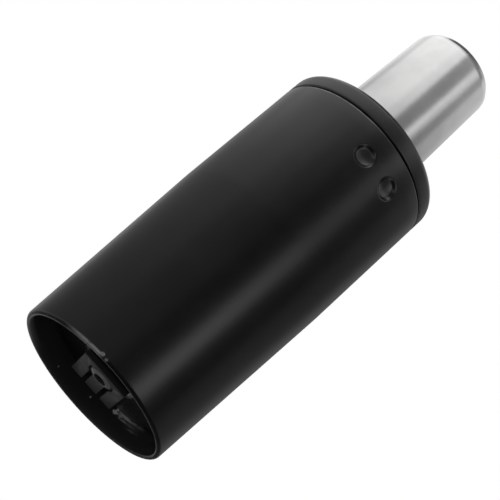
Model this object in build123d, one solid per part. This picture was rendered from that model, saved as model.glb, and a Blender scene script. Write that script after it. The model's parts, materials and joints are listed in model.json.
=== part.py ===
from build123d import *
import os
from math import hypot, radians, tan

# Short chair gas lift, pressed all the way down.
# The axis is Z, the origin is the middle of the open lower rim, and the lift stands on that rim.
# Lengths are millimetres, and angles are degrees.

# Values that many pieces share
taper_angle = 1.4379       # half angle of both cones, 1 degree 26 minutes
seat_gap = 0.05            # between pieces that sit in one another without turning
running_gap = 0.06         # round a shaft that slides or turns
overrun = 1.0              # how far a cutter runs past what it cuts
same_point = 0.00001       # corners nearer than this need no line between them

# Column tube
tube_radius = 25.0
tube_wall = 1.5
tube_length = 94.5
base_taper_length = 56.0
rim_outer_rounding = 0.9
rim_inner_rounding = 0.4
top_edge_rounding = 0.5

# Crimp dimples that hold the guide bush
dimple_pairs = 3
dimple_pair_angle = 24.2
first_dimple_angle = -86.3
dimple_drop = 8.55        # from the tube's top end to the dimple's middle
dimple_mouth_radius = 3.1
dimple_floor_radius = 1.8
dimple_depth = 1.2

# Guide bush: the collar on top and the ribbed sleeve inside the tube
collar_thickness = 6.0
collar_top_rounding = 2.0
sleeve_length = 52.0
sleeve_core_wall = 3.0
upper_land = 17.0
lower_land = 7.0
rib_count = 16
rib_width = 1.6
bore_land = 12.0
bore_relief = 0.5
bore_lead = 0.8

# Base plate, wedged in the tube's taper
recess_depth = 7.0
plate_thickness = 2.5
plate_rounding = 1.6
skirt_height = 7.0
race_pocket_depth = 0.5

# Thrust bearing
race_radius = 11.0
race_thickness = 1.0
race_gap = 0.3             # between a race's bore and the rod
ball_radius = 1.5
ball_pitch_radius = 8.2
ball_count = 12
ball_gap = 0.1             # between a ball and each race
cage_thickness = 1.8
cage_rim = 0.9             # cage left inside and outside the ball pockets
ball_pocket_gap = 0.12

# Piston rod
rod_radius = 5.0
neck_radius = 4.4
groove_radius = 3.4
end_collar_height = 1.0
end_hole_radius = 1.9
end_hole_depth = 5.0
end_play = 0.1             # between the clip washer and the base plate
end_edge = 0.4
piston_spigot_radius = 3.5

# Retaining clip: a strip of spring steel folded over the rod's end, and its washer
clip_sheet = 0.8
clip_width = 14.3
clip_reach = 12.4          # from the axis to the tips of the tongues
clip_back = 4.8            # from the axis to the start of the fold
clip_play = 0.05
tongue_half_width = 2.1
tongue_slot = 1.35
eye_radius = 3.7
eye_slot = 0.55
eye_rise = 0.35
clip_corner = 0.5
washer_radius = 8.7
washer_thickness = 1.0

# Rubber end stop and its steel washer
buffer_radius = 11.0
buffer_height = 5.0
buffer_waist = 0.9
buffer_gap = 0.15
stop_washer_thickness = 1.0
stop_washer_radius = 11.5
stop_gap = 0.3             # between the stop washer and the spindle at rest

# Spindle tube
spindle_radius = 14.0
spindle_wall = 1.6
spindle_taper_length = 39.0
spindle_end_rounding = 3.0
top_lip_radius = 8.6
bottom_lip_radius = 10.6
stroke = 50.0

# Gland that the rod slides through, and the ring that holds the pressure tube
rod_guide_height = 6.0
rod_seal_height = 4.5
seal_groove_depth = 2.6
seal_lip_share = 0.33      # each lip's share of the seal's width
seal_washer_height = 1.0
centring_height = 6.0
centring_floor = 2.0
notch_count = 6
notch_width = 3.0
gland_passage = 1.2        # between the rod and the rings that only stand round it

# Pressure tube and piston
pressure_radius = 11.0
pressure_wall = 0.9
stroke_spare = 1.0
piston_height = 8.0
piston_gap = 0.08
ring_groove_depth = 1.4
ring_height = 2.4
ring_scarf_angle = 45.0    # the slanted split that lets the ring be sprung over the piston
ring_scarf_gap = 0.3
piston_land = 1.2
seal_section = 1.8
nut_flats = 11.0
nut_height = 3.0
rod_tail = 0.6

# Release valve
release_travel = 3.0
rod_to_pin_gap = 0.5
pin_radius = 2.0
pin_head_radius = 2.8
pin_head_height = 1.0
pin_head_gap = 0.1
pin_waist_radius = 1.3
pin_waist_length = 3.4
spigot_height = 7.5
flange_height = 6.0
chamber_radius = 3.2
chamber_height = 4.2
pin_seal_section = 1.5
pin_seal_inset = 1.0
gallery_height = 2.4       # ring channel that lets gas from round the pressure tube into the ports
gallery_gap = 0.3
port_radius = 0.8
port_count = 4
flange_seal_share = 0.67   # height of the flange's rubber ring, as a share of the flange

# Push button and the sleeve that guides it
button_radius = 4.5
button_stand = 4.0
button_dome = 1.4
button_flange_radius = 6.0
button_flange_height = 2.0
button_stop_gap = 0.1
sleeve_height = 18.7
sleeve_shoulder = 8.0
sleeve_boss_drop = 0.5
pin_seat_depth = 5.0

# Heights along the axis, each from the piece below it
taper_slope = tan(radians(taper_angle))
collar_top = tube_length + collar_thickness
sleeve_bottom = tube_length - sleeve_length
dimple_height = tube_length - dimple_drop
plate_top = recess_depth + plate_thickness
lower_race_base = plate_top - race_pocket_depth
ball_height = lower_race_base + race_thickness + ball_gap + ball_radius
upper_race_base = ball_height + ball_radius + ball_gap
shoulder_height = upper_race_base + race_thickness
washer_base = recess_depth - end_play - washer_thickness
groove_base = washer_base - clip_sheet - 2 * clip_play
rod_end_height = groove_base - end_collar_height
clip_face = rod_end_height - clip_play - clip_sheet
stop_washer_base = shoulder_height + buffer_height
spindle_base = stop_washer_base + stop_washer_thickness + stop_gap
guide_base = spindle_base + spindle_wall
seal_base = guide_base + rod_guide_height
seal_washer_base = seal_base + rod_seal_height
centring_base = seal_washer_base + seal_washer_height
pressure_base = centring_base + centring_floor
piston_base = centring_base + centring_height + stroke + stroke_spare
nut_base = piston_base + piston_height
rod_top = nut_base + nut_height + rod_tail
pin_base = rod_top + release_travel + rod_to_pin_gap
valve_base = pin_base + pin_head_height + pin_head_gap
flange_base = valve_base + spigot_height
valve_top = flange_base + flange_height
sleeve_top = valve_top + sleeve_height
spindle_top = sleeve_top + spindle_wall
spindle_taper_start = spindle_top - spindle_taper_length
button_top = spindle_top + button_stand
shoulder_base = sleeve_top - sleeve_shoulder
button_flange_top = shoulder_base - button_stop_gap
button_base = button_flange_top - button_flange_height

# Radii that several pieces use
pressure_bore = pressure_radius - pressure_wall
piston_radius = pressure_bore - piston_gap
rod_bore = rod_radius + running_gap
plate_bore = neck_radius + running_gap


def tube_outside(height):
    return tube_radius - max(base_taper_length - height, 0) * taper_slope


def tube_inside(height):
    return tube_outside(height) - tube_wall


def spindle_outside(height):
    return spindle_radius - max(height - spindle_taper_start, 0) * taper_slope


def spindle_inside(height):
    return spindle_outside(height) - spindle_wall


# A closed outline through corners (a, b) or (a, b, rounding), drawn by the function `place`
def outline(corners, place):
    stations = []
    for index, corner in enumerate(corners):
        before = corners[index - 1]
        after = corners[(index + 1) % len(corners)]
        if len(corner) == 2:
            stations.append([corner])
            continue
        a, b, rounding = corner
        back = (before[0] - a, before[1] - b)
        on = (after[0] - a, after[1] - b)
        back = (back[0] / hypot(*back), back[1] / hypot(*back))
        on = (on[0] / hypot(*on), on[1] / hypot(*on))
        middle = (back[0] + on[0], back[1] + on[1])
        middle = (middle[0] / hypot(*middle), middle[1] / hypot(*middle))
        cos_half = back[0] * middle[0] + back[1] * middle[1]
        sin_half = (1 - cos_half**2) ** 0.5
        run = rounding * cos_half / sin_half
        reach = rounding / sin_half - rounding
        stations.append([
            (a + back[0] * run, b + back[1] * run),
            (a + middle[0] * reach, b + middle[1] * reach),
            (a + on[0] * run, b + on[1] * run),
        ])
    edges = []
    for index, station in enumerate(stations):
        last = station[-1]
        following = stations[(index + 1) % len(stations)][0]
        if len(station) == 3:
            edges.append(ThreePointArc(*[place(*point) for point in station]))
        if hypot(following[0] - last[0], following[1] - last[1]) > same_point:
            edges.append(Line(place(*last), place(*following)))
    return make_face(edges)


def half_plane(radius, height):
    return (radius, 0, height)


# A turned piece: its half section, from (radius, height) corners, spun round the axis
def turned(*corners):
    return revolve(outline(corners, half_plane), Axis.Z)


def ring(outer, inner, base, height):
    top = base + height
    return turned((inner, base), (outer, base), (outer, top), (inner, top))


def disc(radius, base, height):
    return ring(radius, 0, base, height)


# A rubber ring of round section
def round_ring(middle_radius, section_radius, height):
    section = Plane.XZ * Pos(middle_radius, height) * Circle(section_radius)
    return revolve(section, Axis.Z)


def around(count, piece, start=0):
    return [Rot(0, 0, start + 360 * index / count) * piece for index in range(count)]


def dimple_angles():
    for pair in range(dimple_pairs):
        start = first_dimple_angle + 360 * pair / dimple_pairs
        yield start
        yield start + dimple_pair_angle


# A cone that narrows towards the axis, laid along +X, from a mouth on the radius given
def crimp_cone(mouth_radius, floor_radius, outside, depth):
    flare = turned(
        (0, outside - depth),
        (floor_radius, outside - depth),
        (mouth_radius, outside),
        (mouth_radius, outside + overrun),
        (0, outside + overrun),
    )
    return Rot(0, 90, 0) * flare


def column_tube():
    foot = tube_outside(0)
    body = turned(
        (foot, 0, rim_outer_rounding),
        (tube_radius, base_taper_length),
        (tube_radius, tube_length, top_edge_rounding),
        (tube_radius - tube_wall, tube_length, top_edge_rounding),
        (tube_radius - tube_wall, base_taper_length),
        (foot - tube_wall, 0, rim_inner_rounding),
    )
    bump = crimp_cone(
        dimple_mouth_radius + tube_wall / 2,
        dimple_floor_radius + tube_wall / 2,
        tube_radius - tube_wall / 2,
        dimple_depth + tube_wall / 2,
    )
    bump &= ring(tube_radius - tube_wall / 2, 0, -tube_radius, 2 * tube_radius)
    punch = crimp_cone(dimple_mouth_radius, dimple_floor_radius, tube_radius, dimple_depth)
    for angle in dimple_angles():
        body += Pos(0, 0, dimple_height) * Rot(0, 0, angle) * bump
    for angle in dimple_angles():
        body -= Pos(0, 0, dimple_height) * Rot(0, 0, angle) * punch
    return body


def guide_bush():
    bore = spindle_radius + running_gap
    relief = bore + bore_relief
    core = bore + sleeve_core_wall
    straight = tube_inside(base_taper_length) - seat_gap
    foot = tube_inside(sleeve_bottom) - seat_gap
    body = turned(
        (bore, collar_top, bore_lead),
        (tube_radius, collar_top, collar_top_rounding),
        (tube_radius, tube_length, top_edge_rounding),
        (straight, tube_length),
        (straight, base_taper_length),
        (foot, sleeve_bottom),
        (bore, sleeve_bottom, bore_lead),
        (bore, sleeve_bottom + bore_land),
        (relief, sleeve_bottom + bore_land + bore_relief),
        (relief, collar_top - bore_land - bore_relief),
        (bore, collar_top - bore_land),
    )
    pocket_base = sleeve_bottom + lower_land
    pocket_height = sleeve_length - lower_land - upper_land
    pockets = ring(tube_radius, core, pocket_base, pocket_height)
    rib_length = tube_radius - bore + overrun
    rib = Pos(bore + rib_length / 2, 0, pocket_base + pocket_height / 2) * Box(
        rib_length, rib_width, pocket_height + overrun
    )
    for blade in around(rib_count, rib):
        pockets -= blade
    body -= pockets
    seat = crimp_cone(
        dimple_mouth_radius + tube_wall / 2 + seat_gap,
        dimple_floor_radius + tube_wall / 2 + seat_gap,
        tube_radius - tube_wall / 2,
        dimple_depth + tube_wall / 2 + seat_gap,
    )
    for angle in dimple_angles():
        body -= Pos(0, 0, dimple_height) * Rot(0, 0, angle) * seat
    return body


def base_plate():
    skirt_top = recess_depth + skirt_height
    floor_radius = tube_inside(recess_depth) - seat_gap
    rim_radius = tube_inside(skirt_top) - seat_gap
    pocket_radius = race_radius + seat_gap
    return turned(
        (plate_bore, recess_depth),
        (floor_radius, recess_depth, plate_rounding),
        (rim_radius, skirt_top),
        (rim_radius - plate_thickness, skirt_top),
        (floor_radius - plate_thickness, plate_top, rim_inner_rounding),
        (pocket_radius, plate_top),
        (pocket_radius, lower_race_base),
        (plate_bore, lower_race_base),
    )


def race(base):
    return ring(race_radius, neck_radius + race_gap, base, race_thickness)


def ball_cage():
    pocket_radius = ball_radius + ball_pocket_gap
    reach = pocket_radius + cage_rim
    base = ball_height - cage_thickness / 2
    body = ring(ball_pitch_radius + reach, ball_pitch_radius - reach, base, cage_thickness)
    pocket = Pos(ball_pitch_radius, 0, ball_height) * Cylinder(pocket_radius, cage_thickness + overrun)
    for hole in around(ball_count, pocket):
        body -= hole
    return body


def bearing_balls():
    ball = Pos(ball_pitch_radius, 0, ball_height) * Sphere(ball_radius)
    return Compound(children=around(ball_count, ball))


def piston_rod():
    hole_end = rod_end_height + end_hole_depth
    return turned(
        (0, hole_end + end_hole_radius / 2),
        (end_hole_radius, hole_end),
        (end_hole_radius, rod_end_height),
        (neck_radius, rod_end_height, end_edge),
        (neck_radius, groove_base),
        (groove_radius, groove_base),
        (groove_radius, washer_base),
        (neck_radius, washer_base),
        (neck_radius, shoulder_height),
        (rod_radius, shoulder_height),
        (rod_radius, piston_base),
        (piston_spigot_radius, piston_base),
        (piston_spigot_radius, rod_top),
        (0, rod_top),
    )


def side_plane(depth, height):
    return (0, depth, height)


# The clip's side view is a U lying on its side, folded towards -Y and open towards +Y
def folded_strip():
    grip_top = washer_base - clip_play
    fold_radius = (grip_top - clip_face) / 2
    inner_radius = fold_radius - clip_sheet
    strip = outline(
        [
            (clip_reach, clip_face),
            (-clip_back, clip_face),
            (-clip_back - fold_radius, clip_face, fold_radius),
            (-clip_back - fold_radius, grip_top, fold_radius),
            (-clip_back, grip_top),
            (clip_reach, grip_top),
            (clip_reach, grip_top - clip_sheet),
            (-clip_back, grip_top - clip_sheet),
            (-clip_back - inner_radius, grip_top - clip_sheet, inner_radius),
            (-clip_back - inner_radius, clip_face + clip_sheet, inner_radius),
            (-clip_back, clip_face + clip_sheet),
            (clip_reach, clip_face + clip_sheet),
        ],
        side_plane,
    )
    return extrude(strip, clip_width / 2, Vector(1, 0, 0), both=True)


# The outer leaf has the eye and three tongues, and the inner leaf grips the rod's groove
def retaining_clip():
    body = folded_strip()
    middle_height = (clip_face + washer_base - clip_play) / 2
    low = clip_face - overrun
    slot_depth = middle_height - low
    slot_middle = tongue_half_width + tongue_slot / 2
    slot = Pos(slot_middle, clip_reach / 2 + overrun / 2, low + slot_depth / 2) * Box(
        tongue_slot, clip_reach + overrun, slot_depth
    )
    eye_cut = ring(eye_radius + eye_slot, 0, low, slot_depth)
    eye_cut -= Pos(0, -eye_radius / 2 - clip_back / 2, middle_height) * Box(
        clip_width, clip_back, clip_width
    )
    tongue = Pos(0, clip_reach / 2, clip_face + clip_sheet / 2) * Box(
        2 * tongue_half_width, clip_reach, clip_sheet
    )
    for side in (slot, mirror(slot, Plane.YZ), eye_cut):
        body -= side
    body += tongue
    body += turned(
        (0, clip_face - eye_rise),
        (end_hole_radius + eye_rise, clip_face - eye_rise, eye_rise / 2),
        (eye_radius, clip_face + eye_rise / 2),
        (eye_radius, clip_face + clip_sheet),
        (0, clip_face + clip_sheet),
    )
    body -= disc(end_hole_radius, low, slot_depth)
    throat = groove_radius + clip_play
    grip_height = washer_base + overrun - middle_height
    grip_middle = middle_height + grip_height / 2
    body -= disc(throat, middle_height, grip_height)
    body -= Pos(0, clip_reach / 2 + overrun / 2, grip_middle) * Box(
        2 * throat, clip_reach + overrun, grip_height
    )
    tips = body.edges().filter_by(Axis.Z).group_by(Axis.Y)[-1]
    return fillet(tips, clip_corner)


def clip_washer():
    return ring(washer_radius, neck_radius + seat_gap, washer_base, washer_thickness)


def buffer_ring():
    bore = rod_radius + buffer_gap
    top = shoulder_height + buffer_height
    waist_height = shoulder_height + buffer_height / 2
    return turned(
        (bore, shoulder_height),
        (buffer_radius, shoulder_height),
        (buffer_radius - buffer_waist, waist_height, buffer_height / 2),
        (buffer_radius, top),
        (bore, top),
    )


def buffer_washer():
    return ring(stop_washer_radius, rod_radius + buffer_gap, stop_washer_base, stop_washer_thickness)


def spindle_tube():
    floor_radius = spindle_radius - spindle_wall
    inner_rounding = spindle_end_rounding - spindle_wall
    end_radius = spindle_outside(spindle_top)
    ceiling = spindle_top - spindle_wall
    return turned(
        (top_lip_radius, spindle_top),
        (end_radius, spindle_top, spindle_end_rounding),
        (spindle_radius, spindle_taper_start),
        (spindle_radius, spindle_base, spindle_end_rounding),
        (bottom_lip_radius, spindle_base),
        (bottom_lip_radius, guide_base),
        (floor_radius, guide_base, inner_rounding),
        (floor_radius, spindle_taper_start),
        (spindle_inside(ceiling), ceiling, inner_rounding),
        (top_lip_radius, ceiling),
    )


def gland_radius():
    return spindle_radius - spindle_wall - seat_gap


def rod_guide():
    inner_rounding = spindle_end_rounding - spindle_wall
    return turned(
        (rod_bore, guide_base),
        (gland_radius(), guide_base, inner_rounding + 2 * seat_gap),
        (gland_radius(), seal_base),
        (rod_bore, seal_base),
    )


def rod_seal():
    outer = gland_radius()
    band = (outer - rod_bore) * seal_lip_share
    return turned(
        (rod_bore, seal_base),
        (outer, seal_base),
        (outer, seal_washer_base),
        (outer - band, seal_washer_base),
        (outer - band, seal_washer_base - seal_groove_depth),
        (rod_bore + band, seal_washer_base - seal_groove_depth),
        (rod_bore + band, seal_washer_base),
        (rod_bore, seal_washer_base),
    )


def seal_washer():
    return ring(gland_radius(), rod_radius + gland_passage, seal_washer_base, seal_washer_height)


def centring_ring():
    socket = pressure_radius + seat_gap
    bore = rod_radius + gland_passage
    top = centring_base + centring_height
    body = turned(
        (bore, centring_base),
        (gland_radius(), centring_base),
        (gland_radius(), top),
        (socket, top),
        (socket, pressure_base),
        (bore, pressure_base),
    )
    notch = Pos(gland_radius(), 0, centring_base + centring_height / 2) * Box(
        2 * (gland_radius() - socket), notch_width, centring_height + overrun
    )
    for cut in around(notch_count, notch):
        body -= cut
    return body


def pressure_tube():
    return ring(pressure_radius, pressure_bore, pressure_base, flange_base - pressure_base)


def seal_middle():
    return piston_base + piston_land + seal_section / 2


def ring_base():
    return piston_base + piston_height - piston_land - ring_height


def piston():
    bore = piston_spigot_radius + seat_gap
    body = ring(piston_radius, bore, piston_base, piston_height)
    groove_floor = piston_radius - ring_groove_depth
    body -= ring(piston_radius + overrun, groove_floor, ring_base(), ring_height)
    body -= ring(piston_radius + overrun, groove_floor, seal_middle() - seal_section / 2, seal_section)
    return body


def piston_ring():
    bore = piston_radius - ring_groove_depth + seat_gap
    height = ring_height - 2 * seat_gap
    band = ring(piston_radius, bore, ring_base() + seat_gap, height)
    scarf = Box(2 * ring_groove_depth + overrun, ring_scarf_gap, 2 * ring_height)
    return band - Pos(piston_radius, 0, ring_base() + ring_height / 2) * Rot(ring_scarf_angle, 0, 0) * scarf


def piston_seal():
    section = (ring_groove_depth - seat_gap) / 2
    return round_ring(piston_radius - section, section, seal_middle())


def piston_nut():
    blank = Pos(0, 0, nut_base) * extrude(RegularPolygon(nut_flats / 2, 6, major_radius=False), nut_height)
    return blank - disc(piston_spigot_radius + seat_gap, nut_base - overrun, nut_height + 2 * overrun)


def chamber_base():
    return flange_base - chamber_height / 2


def pin_seal_heights():
    half = pin_seal_section / 2
    return (valve_base + pin_seal_inset + half, valve_top - pin_seal_inset - half)


def body_seal_places():
    section = ring_groove_depth / 2
    spigot_place = (pressure_bore - seat_gap - section, valve_base + spigot_height / 2)
    flange_middle = flange_base + flange_height * flange_seal_share
    flange_place = (spindle_inside(flange_middle) - seat_gap - section, flange_middle)
    return (spigot_place, flange_place)


def valve_body():
    bore = pin_radius + running_gap
    spigot_radius = pressure_bore - seat_gap
    gallery_radius = pressure_radius + gallery_gap
    gallery_top = flange_base + gallery_height
    flange_low = spindle_inside(gallery_top) - seat_gap
    flange_high = spindle_inside(valve_top) - seat_gap
    body = turned(
        (bore, valve_base),
        (spigot_radius, valve_base),
        (spigot_radius, flange_base),
        (gallery_radius, flange_base),
        (gallery_radius, gallery_top),
        (flange_low, gallery_top),
        (flange_high, valve_top),
        (bore, valve_top),
    )
    body -= disc(chamber_radius, chamber_base(), chamber_height)
    for height in pin_seal_heights():
        body -= disc(pin_radius + pin_seal_section, height - pin_seal_section / 2, pin_seal_section)
    for middle, height in body_seal_places():
        half = ring_groove_depth / 2
        body -= ring(middle + 2 * half + overrun, middle - half, height - half, 2 * half)
    port_height = flange_base + gallery_height / 2
    port = Pos(spindle_radius / 2, 0, port_height) * Rot(0, 90, 0) * Cylinder(port_radius, spindle_radius)
    for hole in around(port_count, port):
        body -= hole
    return body


def body_seals():
    section = (ring_groove_depth - seat_gap) / 2
    return Compound(children=[round_ring(middle, section, height) for middle, height in body_seal_places()])


def pin_seals():
    section = (pin_seal_section - 2 * running_gap) / 2
    middle = pin_radius + running_gap + section
    return Compound(children=[round_ring(middle, section, height) for height in pin_seal_heights()])


def pin_top():
    return button_base + pin_seat_depth


def valve_pin():
    waist_base = flange_base - pin_waist_length / 2
    waist_top = waist_base + pin_waist_length
    step = pin_radius - pin_waist_radius
    return turned(
        (0, pin_base),
        (pin_head_radius, pin_base),
        (pin_head_radius, pin_base + pin_head_height),
        (pin_radius, pin_base + pin_head_height),
        (pin_radius, waist_base - step),
        (pin_waist_radius, waist_base),
        (pin_waist_radius, waist_top),
        (pin_radius, waist_top + step),
        (pin_radius, pin_top()),
        (0, pin_top()),
    )


def push_button():
    seat = pin_radius + seat_gap
    return turned(
        (0, pin_top() + seat_gap),
        (seat, pin_top() + seat_gap),
        (seat, button_base),
        (button_flange_radius, button_base),
        (button_flange_radius, button_flange_top),
        (button_radius, button_flange_top),
        (button_radius, button_top, button_dome),
        (0, button_top),
    )


def top_sleeve():
    bore = button_radius + running_gap
    well = button_flange_radius + running_gap
    inner_rounding = spindle_end_rounding - spindle_wall
    boss_top = spindle_top - sleeve_boss_drop
    return turned(
        (well, valve_top),
        (spindle_inside(valve_top) - seat_gap, valve_top),
        (spindle_inside(sleeve_top) - seat_gap, sleeve_top, inner_rounding + 2 * seat_gap),
        (top_lip_radius - seat_gap, sleeve_top),
        (top_lip_radius - seat_gap, boss_top, sleeve_boss_drop),
        (bore, boss_top),
        (bore, shoulder_base),
        (well, shoulder_base),
    )


pieces = {
    "column_tube": column_tube(),
    "guide_bush": guide_bush(),
    "base_plate": base_plate(),
    "lower_race": race(lower_race_base),
    "ball_cage": ball_cage(),
    "bearing_balls": bearing_balls(),
    "upper_race": race(upper_race_base),
    "piston_rod": piston_rod(),
    "retaining_clip": retaining_clip(),
    "clip_washer": clip_washer(),
    "buffer_ring": buffer_ring(),
    "buffer_washer": buffer_washer(),
    "spindle_tube": spindle_tube(),
    "rod_guide": rod_guide(),
    "rod_seal": rod_seal(),
    "seal_washer": seal_washer(),
    "centring_ring": centring_ring(),
    "pressure_tube": pressure_tube(),
    "piston": piston(),
    "piston_ring": piston_ring(),
    "piston_seal": piston_seal(),
    "piston_nut": piston_nut(),
    "valve_body": valve_body(),
    "body_seals": body_seals(),
    "pin_seals": pin_seals(),
    "valve_pin": valve_pin(),
    "push_button": push_button(),
    "top_sleeve": top_sleeve(),
}

os.makedirs("parts", exist_ok=True)
for name, piece in pieces.items():
    export_step(piece, "parts/" + name + ".step")
    print(name, round(piece.volume, 1))
print("height", round(button_top, 2), "radius", round(tube_radius, 2))
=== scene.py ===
import json
from math import asin, atan2, ceil, cos, hypot, pi, radians, sin, tan

import bmesh
import bpy
from mathutils import Matrix, Vector

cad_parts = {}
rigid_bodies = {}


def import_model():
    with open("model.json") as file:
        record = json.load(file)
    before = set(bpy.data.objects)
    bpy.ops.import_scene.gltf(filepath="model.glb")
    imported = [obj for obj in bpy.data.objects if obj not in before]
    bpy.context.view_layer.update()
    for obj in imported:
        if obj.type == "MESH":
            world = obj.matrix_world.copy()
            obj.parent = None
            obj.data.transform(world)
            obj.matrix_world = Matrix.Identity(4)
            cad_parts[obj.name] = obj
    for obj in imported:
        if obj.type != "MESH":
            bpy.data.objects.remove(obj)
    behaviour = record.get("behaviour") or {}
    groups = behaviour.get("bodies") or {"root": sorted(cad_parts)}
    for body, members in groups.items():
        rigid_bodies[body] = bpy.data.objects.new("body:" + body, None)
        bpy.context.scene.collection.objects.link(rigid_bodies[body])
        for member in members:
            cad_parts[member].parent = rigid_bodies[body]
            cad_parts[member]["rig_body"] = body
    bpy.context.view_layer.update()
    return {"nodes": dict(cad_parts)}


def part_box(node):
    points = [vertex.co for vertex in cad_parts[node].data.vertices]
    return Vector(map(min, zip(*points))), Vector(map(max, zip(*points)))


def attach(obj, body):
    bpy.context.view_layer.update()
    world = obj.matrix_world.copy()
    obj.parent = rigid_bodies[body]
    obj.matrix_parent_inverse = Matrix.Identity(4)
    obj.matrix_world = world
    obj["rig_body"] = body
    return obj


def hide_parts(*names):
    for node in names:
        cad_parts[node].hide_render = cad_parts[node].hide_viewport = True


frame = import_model()
print("frame loaded with", len(frame["nodes"]), "pieces")

mm = 0.001


# A socket that can be used in sums: every sum on values adds its Math node
class Wire:
    def __init__(self, tree, socket=None):
        self.tree = tree
        self.socket = socket

    # any node: settings are set first, then the values or wires of its sockets
    def node(self, kind, settings=None, values=None, out=0):
        made = self.tree.nodes.new(kind)
        for key, value in (settings or {}).items():
            if key == "stops":
                self.setStops(made.color_ramp, value)
            else:
                setattr(made, key, value)
        for key, value in (values or {}).items():
            if isinstance(value, Wire):
                self.tree.links.new(value.socket, made.inputs[key])
            else:
                made.inputs[key].default_value = value
        return Wire(self.tree, made.outputs[out] if made.outputs else None)

    def setStops(self, ramp, stops):
        for index, (place, level) in enumerate(stops):
            stop = ramp.elements[index] if index < 2 else ramp.elements.new(place)
            stop.position = place
            stop.color = (level, level, level, 1)

    def math(self, operation, first, *others):
        return self.node("ShaderNodeMath", {"operation": operation}, dict(enumerate((first,) + others)))

    def __add__(self, other):
        return self.math("ADD", self, other)

    def __radd__(self, other):
        return self.math("ADD", other, self)

    def __sub__(self, other):
        return self.math("SUBTRACT", self, other)

    def __rsub__(self, other):
        return self.math("SUBTRACT", other, self)

    def __mul__(self, other):
        return self.math("MULTIPLY", self, other)

    def __rmul__(self, other):
        return self.math("MULTIPLY", other, self)

    def __truediv__(self, other):
        return self.math("DIVIDE", self, other)

    def __rtruediv__(self, other):
        return self.math("DIVIDE", other, self)

    def __pow__(self, other):
        return self.math("POWER", self, other)

    def __gt__(self, other):
        return self.math("GREATER_THAN", self, other)

    def __lt__(self, other):
        return self.math("LESS_THAN", self, other)

    def least(self, other):
        return self.math("MINIMUM", self, other)

    def most(self, other):
        return self.math("MAXIMUM", self, other)

    def size(self):
        return self.math("ABSOLUTE", self)

    def ramp(self, low, high):
        return self.node(
            "ShaderNodeMapRange", {"interpolation_type": "SMOOTHSTEP"},
            {"Value": self, "From Min": low, "From Max": high, "To Min": 0.0, "To Max": 1.0},
        )


# Materials, all on Object coordinates in metres
def emptyMaterial(name):
    material = bpy.data.materials.new(name)
    material.use_nodes = True
    material.node_tree.nodes.clear()
    return material, Wire(material.node_tree)


def startMaterial(name):
    material, wire = emptyMaterial(name)
    return material, wire, wire.node("ShaderNodeTexCoord", out="Object")


def endMaterial(material, wire, values):
    shader = wire.node("ShaderNodeBsdfPrincipled", None, values, "BSDF")
    wire.node("ShaderNodeOutputMaterial", None, {"Surface": shader})
    return material


def grain(wire, place, scale, detail=2.0, roughness=0.5):
    values = {"Vector": place, "Scale": scale, "Detail": detail, "Roughness": roughness}
    return wire.node("ShaderNodeTexNoise", None, values, "Fac")


# Noise as a swing either side of zero
def swing(noise, spread):
    return (noise - 0.5) * spread


def stretched(wire, place, x, y, z):
    return wire.node("ShaderNodeVectorMath", {"operation": "MULTIPLY"}, {0: place, 1: (x, y, z)})


colourA, colourB, colourOut = 6, 7, 2  # where a Mix node has its colour sockets


# A colour is a wire or three levels
def mixed(wire, first, second, share):
    first, second = (colour if isinstance(colour, Wire) else (*colour, 1.0) for colour in (first, second))
    values = {"Factor": share, colourA: first, colourB: second}
    return wire.node("ShaderNodeMix", {"data_type": "RGBA"}, values, colourOut)


def scaled(colour, share):
    return tuple(min(1.0, channel * share) for channel in colour)


def relief(wire, height, finish):
    values = {"Height": height, "Strength": finish["relief"], "Distance": finish["depth"]}
    return wire.node("ShaderNodeBump", None, values, "Normal")


# Place round and along the axis: radius, turn and height, as wires
def aroundAxis(wire, place):
    split = wire.node("ShaderNodeSeparateXYZ", None, {"Vector": place})
    x, y, z = (Wire(wire.tree, socket) for socket in split.socket.node.outputs)
    radius = wire.math("SQRT", x * x + y * y)
    turn = wire.math("ARCTAN2", y, x)
    return radius, turn, z


# 1 at the spot, falling to 0 at the reach from it, both in millimetres
def nearness(wire, place, spot, reach):
    values = {0: place, 1: [length * mm for length in spot]}
    distance = wire.node("ShaderNodeVectorMath", {"operation": "DISTANCE"}, values, "Value")
    return 1 - distance.ramp(0.0, reach * mm)


turnedFinish = {
    "ringScale": 9000.0, "ringAcross": 1.4, "ringWander": 0.0006,
    "smudgeScale": 90.0, "smudgeRange": (0.3, 0.65), "darkShare": 0.9,
    "scratchScale": 0.35, "scratchStretch": 6.0, "scratchRange": (0.74, 0.79),
    "scratchRough": 0.06, "scratchDepth": 0.3,
    "oilAndShade": [], "oilAndShadeRange": (0.1, 0.5), "oilAndShadeColour": (0.06, 0.06, 0.062),
    "rough": 0.24, "roughSpread": 0.06, "relief": 0.12, "depth": 0.00003,
}
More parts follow.
